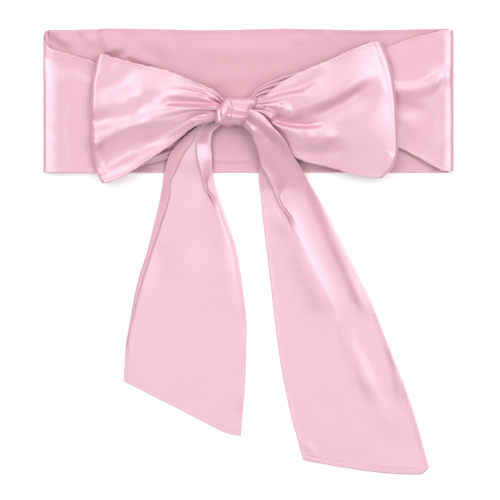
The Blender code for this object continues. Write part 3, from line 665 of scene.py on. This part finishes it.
RIGHT_END = [
    Hang(0.00, 0.0),
    Hang(0.35, 5.5),
    Hang(0.70, 8.5),
    Hang(0.93, 7.5),
    Hang(1.00, 0.0),
]
LEFT_TAIL_FOLDS = [
    Fold((-88, 106), (-91, 82), (-94, 44), 2.2, 8.0, 7.0, 0.2, 0.4),
    Fold((-46, 112), (-46, 78), (-36, 46), 1.2, 8.0, 14.0, 0.3, 0.3),
    Fold((-44, 74), (-29, 10), (-16, -92), 2.6, 11.0, 24.0, 0.3, 0.35),
    Fold((-92, 10), (-94, -25), (-100, -60), 0.8, 10.0, 10.0, 0.3, 0.3),
]
RIGHT_TAIL_FOLDS = [
    Fold((2, 143), (20, 128), (40, 111), 4.2, 7.0, 6.0, 0.0, 0.25),
    Fold((14, 120), (24, 109), (37, 103), -3.2, 5.0, 4.5, 0.3, 0.2),
    Fold((28, 66), (60, -14), (98, -84), 3.2, 12.0, 14.0, 0.25, 0.35),
    Fold((60, 82), (93, 4), (131, -82), 3.0, 7.0, 7.0, 0.2, 0.25),
    Fold((92, -66), (118, -124), (146, -184), 1.5, 8.0, 8.0, 0.35, 0.4),
    Fold((142, -90), (154, -124), (158, -166), 1.8, 6.0, 5.0, 0.3, 0.4),
    Fold((52, -200), (62, -204), (70, -218), 0.8, 4.0, 4.0, 0.3, 0.3),
]


def pleat_turn(depth):
    """Angle that a pleat's layers turn through: right back, until it runs out."""
    return math.pi * float(ease(depth, 0.0, FULL_PLEAT))


def pleat_run(depth):
    """Length between a pleat's two bends, which shrinks before the bends open."""
    return max(depth - FULL_PLEAT, SHORTEST_RUN)


def section_path(runs):
    """Side and height of each point of a section made of straight runs and bends."""
    lengths = []
    headings = []
    for run in runs:
        for step in range(run.steps):
            share = (step + 0.5) / run.steps
            lengths.append(run.length / run.steps)
            headings.append(run.start_heading + (run.end_heading - run.start_heading) * share)
    lengths = np.array(lengths)
    headings = np.array(headings)
    side = np.concatenate([[0.0], np.cumsum(lengths * np.cos(headings))])
    height = np.concatenate([[0.0], np.cumsum(lengths * np.sin(headings))])
    return side, height


def tail_section(row, flapped):
    """Side and height of one tail section, from its left edge to its right.

    One pleat lies across it: the lower layer turns back under the fold edge,
    and the upper one slopes down from there to the right.  The left tail also
    has its left edge folded to the front.
    """
    span = math.hypot(row.right_x - row.left_x, row.right_y - row.left_y)
    turn = pleat_turn(row.pleat)
    depth = pleat_run(row.pleat)
    slant = PLEAT_SLANT * turn / math.pi
    reach = depth * math.cos(turn - slant) + 2.0 * BEND_LENGTH * float(np.sinc(turn / math.pi))
    lower = (span - row.shows if flapped else row.shows) - min(reach, 0.0)
    upper = span - lower - reach
    edge = min(HEM_ZONE, 0.4 * lower)
    runs = [
        Run(edge, 0.0, 0.0, EDGE_STEPS),
        Run(lower - edge, 0.0, 0.0, MAIN_STEPS if flapped else NARROW_STEPS),
        Run(BEND_LENGTH, 0.0, turn - slant, BEND_STEPS),
        Run(depth, turn - slant, turn - slant, PLEAT_STEPS),
        Run(BEND_LENGTH, turn - slant, 0.0, BEND_STEPS),
    ]
    if flapped:
        flap_turn = pleat_turn(row.flap)
        runs.insert(0, Run(BEND_LENGTH, -flap_turn, 0.0, BEND_STEPS))
        runs.insert(0, Run(pleat_run(row.flap), -flap_turn, -flap_turn, FLAP_STEPS))
    upper_start = sum(run.steps for run in runs)
    edge = min(HEM_ZONE, 0.4 * upper)
    runs.append(Run(upper - edge, 0.0, 0.0, NARROW_STEPS if flapped else MAIN_STEPS))
    runs.append(Run(edge, 0.0, 0.0, EDGE_STEPS))
    side, height = section_path(runs)
    if flapped:
        side = side - side.min()
        height = height - height[FLAP_STEPS + BEND_STEPS]
    past_fold = (side - side[upper_start]) / (2.0 * depth + 2.0)
    left = (1.0 - np.clip(past_fold, 0.0, 1.0)) ** 1.5
    is_upper = np.arange(len(side)) > upper_start
    return side, np.where(is_upper, height[upper_start] * left, height)


def tail_points(sections, folds, end, flapped, rows, seed):
    """Grid of points of a pleated tail, from the knot to its cut end."""
    length = math.hypot(sections[-1].left_x - sections[0].left_x,
                        sections[-1].left_y - sections[0].left_y)
    near_end = HEM_ZONE / length
    along = np.concatenate([np.linspace(0.0, 1.0 - near_end, rows - HEM_COLUMNS),
                            np.linspace(1.0 - near_end, 1.0, HEM_COLUMNS + 1)[1:]])
    grid = []
    for place, values in zip(along, smooth_columns(sections, along)):
        row = TailSection(*values)
        uneven = 0.6 * math.sin(place * 47.0) + 0.4 * math.sin(place * 83.0 + 1.0)
        row = row._replace(flap=row.flap * (1.0 + 0.06 * uneven))
        side, height = tail_section(row, flapped)
        arc = np.concatenate([[0.0], np.cumsum(np.hypot(np.diff(side), np.diff(height)))])
        from_edge = np.minimum(np.minimum(arc, arc[-1] - arc), (1.0 - place) * length)
        share = (side - side.min()) / (side.max() - side.min())
        hang = smooth_columns(end, share)[:, 1] * place ** 4
        x = row.left_x + (row.right_x - row.left_x) * share
        y = row.left_y + (row.right_y - row.left_y) * share - hang
        z = row.left_z + (row.right_z - row.left_z) * share + height
        z = z + hem_rise(from_edge) * min(arc[-1] / 90.0, 1.0)
        grid.append(np.stack([x, y, z], axis=1))
    points = np.stack(grid)
    x = points[:, :, 0]
    y = points[:, :, 1]
    lift = relief_of(folds, x, y) + rumple(x, y, 0.22, 45.0, seed) + LEAST_LIFT
    points[:, :, 2] += np.maximum(lift, 0.0)
    return points


def hemmed_tail(node, points):
    """A tail as its sheet, with the stitches of its two long hems and its end."""
    sheet = cloth_sheet(node + "_satin", points, SATIN_FACE, SATIN_REVERSE)
    dress(sheet, node)
    shown = points[STITCHED_ROWS]
    cut_end = points[END_HEM].transpose(1, 0, 2)
    seams = stitches(node + "_stitches", [
        seam_line(shown), seam_line(shown, True), seam_line(cut_end, True)], node)


hemmed_tail("left_tail", tail_points(LEFT_TAIL, LEFT_TAIL_FOLDS, LEFT_END, True, 225, 21))
hemmed_tail("right_tail", tail_points(RIGHT_TAIL, RIGHT_TAIL_FOLDS, RIGHT_END, False, 250, 22))

# Knot: the same satin strip wraps once round the gathered bow and is pulled
# tight, so it shows two rounded lobes with a curved fold between them, and
# soft creases that run round it.

KNOT_CENTRE = (-13.0, 143.5)
KNOT_TOP = 35.0
KNOT_BOTTOM = 2.0
KNOT_FULLNESS = 0.65     # below 1 its top and bottom are flatter than a ball's
KnotRay = namedtuple("KnotRay", "degrees radius")
KNOT_OUTLINE = [
    KnotRay(0, 16.7),
    KnotRay(9, 20.0),
    KnotRay(23, 25.4),
    KnotRay(30, 26.0),
    KnotRay(40, 21.5),
    KnotRay(60, 16.6),
    KnotRay(90, 14.3),
    KnotRay(128, 17.2),
    KnotRay(146, 18.2),
    KnotRay(165, 20.3),
    KnotRay(180, 21.9),
    KnotRay(203, 23.8),
    KnotRay(209, 25.0),
    KnotRay(217, 22.6),
    KnotRay(233, 17.9),
    KnotRay(270, 13.9),
    KnotRay(301, 15.3),
    KnotRay(327, 14.7),
    KnotRay(345, 15.4),
    KnotRay(360, 16.7),
]
KNOT_FOLDS = [
    Fold((-21.4, 159), (-15.8, 145.5), (-22, 129), 1.6, 8.0, 0.8, 0.0, 0.0),
    Fold((-27, 155), (-29.5, 143), (-27, 131), -0.9, 1.6, 1.6, 0.1, 0.1),
    Fold((-18, 147), (-8, 144.5), (6, 142), -3.2, 9.0, 3.5, 0.0, 0.0),
    Fold((-20, 138.5), (-8, 137), (2, 135.5), 3.0, 4.5, 4.0, 0.0, 0.0),
]


def knot_satin():
    """A rounded wrap in the knot's own outline, its folds on top and creases at its sides."""
    bpy.ops.object.select_all(action="DESELECT")
    bpy.ops.mesh.primitive_uv_sphere_add(segments=160, ring_count=96, radius=1.0)
    piece = bpy.context.object
    piece.name = "knot_satin"
    mesh = piece.data
    count = len(mesh.vertices)
    unit = np.empty(count * 3)
    mesh.vertices.foreach_get("co", unit)
    unit = unit.reshape(-1, 3)
    flat = np.hypot(unit[:, 0], unit[:, 1])
    degrees = np.degrees(np.arctan2(unit[:, 1], unit[:, 0])) % 360.0
    radius = smooth_columns(KNOT_OUTLINE, degrees)[:, 1]
    reach = radius * np.sqrt(flat)
    rise = np.sign(unit[:, 2]) * np.abs(unit[:, 2]) ** KNOT_FULLNESS
    angle = np.radians(degrees)
    x = KNOT_CENTRE[0] + reach * np.cos(angle)
    y = KNOT_CENTRE[1] + reach * np.sin(angle)
    middle = (KNOT_TOP + KNOT_BOTTOM) / 2.0
    z = middle + (KNOT_TOP - KNOT_BOTTOM) / 2.0 * rise
    above = ease(z, middle - 6.0, middle + 8.0)
    drift = np.sin(0.21 * z + 1.0)
    wrap = 0.7 * np.sin(0.5 * x + 1.1 * drift) + 0.3 * np.sin(1.25 * x - 0.9 * drift + 1.0)
    y = y + wrap * np.sin(angle) * flat ** 0.5 * (1.0 - 0.7 * above)
    z = z + above * (relief_of(KNOT_FOLDS, x, y) + rumple(x, y, 0.25, 12.0, 31))
    points = np.stack([x, y, z], axis=1) * MM
    mesh.vertices.foreach_set("co", points.ravel())
    mesh.uv_layers.active.name = "cloth"
    mesh.shade_smooth()
    mesh.materials.append(SATIN_FACE)
    mesh.update()
    return piece


knot = knot_satin()
dress(knot, "knot")

# Studio: a plain white paper floor, large soft lights at both sides and beyond
# the belt's upper edge, weaker ones before the tails and overhead, and a camera
# straight above, as the photo was taken.

FLOOR_SIZE = 6.0
PHOTO_WIDTH = 0.5208     # width of cloth and floor that the photo's frame takes in
PHOTO_CENTRE = (0.0016, 0.0005)
CAMERA_HEIGHT = 3.0
SENSOR = 36.0
WHITE = (1.0, 1.0, 1.0, 1.0)

bpy.ops.object.select_all(action="DESELECT")
bpy.ops.mesh.primitive_plane_add(size=FLOOR_SIZE, location=(0.0, 0.0, 0.0))
floor = bpy.context.object
floor.name = "floor"
# Matt white background paper, lit a little from beneath: it shows pure white.
paper = bpy.data.materials.new("white_paper")
paper.use_nodes = True
paper_finish = paper.node_tree.nodes["Principled BSDF"].inputs
paper_finish["Base Color"].default_value = (0.95, 0.95, 0.95, 1.0)
paper_finish["Roughness"].default_value = 0.9
paper_finish["Emission Color"].default_value = WHITE
paper_finish["Emission Strength"].default_value = 0.15
floor.data.materials.append(paper)


def soft_light(name, place, size, power):
    """A rectangular softbox aimed at the middle of the sash."""
    light = bpy.data.lights.new(name, "AREA")
    light.shape = "RECTANGLE"
    light.size, light.size_y = size
    light.energy = power
    item = bpy.data.objects.new(name, light)
    bpy.context.scene.collection.objects.link(item)
    item.location = place
    aim = -item.location.normalized()
    item.rotation_euler = aim.to_track_quat("-Z", "Y").to_euler()


soft_light("left softbox", (-1.4, 0.5, 2.0), (1.5, 1.5), 21.5)
soft_light("right softbox", (1.4, 0.5, 2.0), (1.5, 1.5), 21.5)
soft_light("upper softbox", (0.0, 1.7, 1.9), (2.0, 1.4), 18.0)
soft_light("lower softbox", (0.0, -2.0, 1.6), (2.0, 1.6), 7.0)
soft_light("overhead softbox", (0.0, -0.5, 3.2), (1.4, 1.0), 8.0)
world = bpy.data.worlds.new("studio")
world.use_nodes = True
ambient = world.node_tree.nodes["Background"].inputs
ambient["Color"].default_value = WHITE
ambient["Strength"].default_value = 0.35
bpy.context.scene.world = world
bpy.context.scene.view_settings.view_transform = "Standard"

lens = bpy.data.cameras.new("camera")
lens.sensor_width = SENSOR
lens.lens = SENSOR * CAMERA_HEIGHT / PHOTO_WIDTH
lens.clip_end = 20.0
camera = bpy.data.objects.new("camera", lens)
bpy.context.scene.collection.objects.link(camera)
camera.location = (*PHOTO_CENTRE, CAMERA_HEIGHT)
bpy.context.scene.camera = camera
